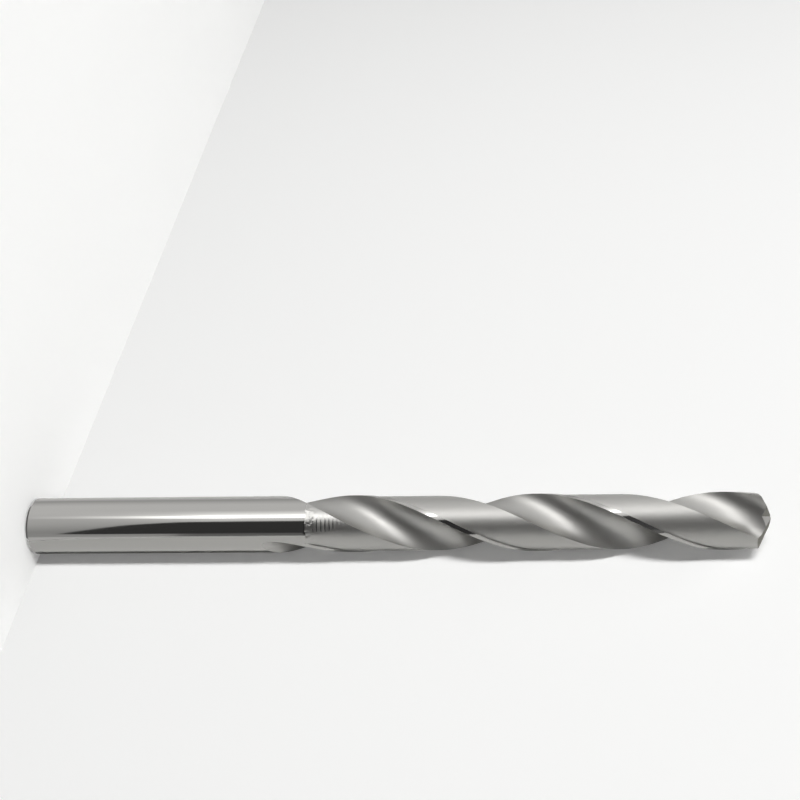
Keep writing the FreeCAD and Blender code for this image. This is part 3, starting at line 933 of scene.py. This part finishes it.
def glowing_sheet(name, rows, see_through):
    """A sheet from rows of a height, a distance, and pairs of an angle and a brightness."""
    spots = []
    glows = []
    for height, distance, points in rows:
        for angle, brightness in points:
            spots.append((out_at(angle) * distance + along_drill * height) * MILLIMETRE)
            glows.append(brightness)
    across = len(rows[0][2])
    starts = [row * across + column for row in range(len(rows) - 1) for column in range(across - 1)]
    faces = [(start, start + 1, start + across + 1, start + across) for start in starts]
    mesh = bpy.data.meshes.new(name)
    mesh.from_pydata(spots, [], faces)
    mesh.attributes.new("glow", "FLOAT", "POINT").data.foreach_set("value", glows)
    material, tree = empty_material(name)
    glow = add(tree, "ShaderNodeAttribute", attribute_name="glow").outputs["Fac"]
    shader = add(tree, "ShaderNodeEmission", {"Strength": glow})
    if see_through:
        clear = add(tree, "ShaderNodeBsdfTransparent")
        shader = add(tree, "ShaderNodeAddShader", (shader, clear))
    add(tree, "ShaderNodeOutputMaterial", (shader,))
    mesh.materials.append(material)
    sheet = in_scene(name, mesh)
    sheet.visible_camera = False
    sheet.visible_diffuse = False
    sheet.visible_transmission = False
    sheet.visible_shadow = False
    print(name, "has", len(faces), "faces")


# %% [markdown]
# The strip is bright in its middle and fades to both sides: STRIP_ACROSS holds degrees from its
# middle, and a brightness. STRIP_ALONG holds a height in millimetres, the angle of the strip's middle
# there, the share of its brightness, and its distance in millimetres. It bends away at both ends, as
# the streaks do. All these rows were set against the streaks.

# %% The strip light
STRIP_ACROSS = (
    (-26, 0), (-16, 0.5), (-9, 1.1), (-5.5, 1.6), (-3.5, 4.5), (3.5, 4.5), (6, 0.7), (14, 0.38), (23, 0),
)
STRIP_ALONG = (
    (-45, 100, 0, 60), (-26, 100, 0.01, 60), (-17, 100, 0.07, 60), (-9, 101, 0.18, 60),
    (-1, 102, 0.42, 60), (8, 102, 0.9, 62), (50, 101, 1, 90), (62, 99, 1, 98),
    (77, 93, 1, 98), (90, 88, 1, 98), (102, 79, 1.05, 98), (113, 70, 1.1, 98),
    (126, 60, 1.15, 98), (142, 49, 1.2, 98), (161, 33, 0.9, 98), (185, 15, 0, 98),
)
strip_rows = [
    (height, distance, [(middle + offset, share * brightness) for offset, brightness in STRIP_ACROSS])
    for height, middle, share, distance in STRIP_ALONG
]
glowing_sheet("strip_light", strip_rows, see_through=True)

# %% [markdown]
# The dark opening has one brightness across. OPENING_ROWS holds a height in millimetres, the
# opening's first and last angle there, and its brightness.

# %% The dark opening
OPENING_DISTANCE = 100
OPENING_PARTS = 6
OPENING_ROWS = (
    (-36, 166, 167, 0.06), (-30, 150, 168, 0.06), (-21, 131, 168, 0.06), (-11, 122, 168, 0.06),
    (0, 120, 168, 0.06), (20, 120, 168, 0.06), (30, 120, 174, 0.05), (45, 120, 178, 0.05),
    (60, 118, 176, 0.05), (78, 112, 170, 0.07), (92, 106, 163, 0.11), (104, 99, 158, 0.14),
    (114, 93, 154, 0.14), (128, 84, 148, 0.12), (150, 80, 140, 0.1), (200, 96, 130, 0.1),
)
opening_rows = []
for height, first, last, brightness in OPENING_ROWS:
    angles = [first + (last - first) * part / OPENING_PARTS for part in range(OPENING_PARTS + 1)]
    opening_rows.append((height, OPENING_DISTANCE, [(angle, brightness) for angle in angles]))
glowing_sheet("dark_opening", opening_rows, see_through=False)

# %% [markdown]
# The Standard view shows colours as they are written.

# %% Finish
bpy.context.scene.view_settings.view_transform = "Standard"
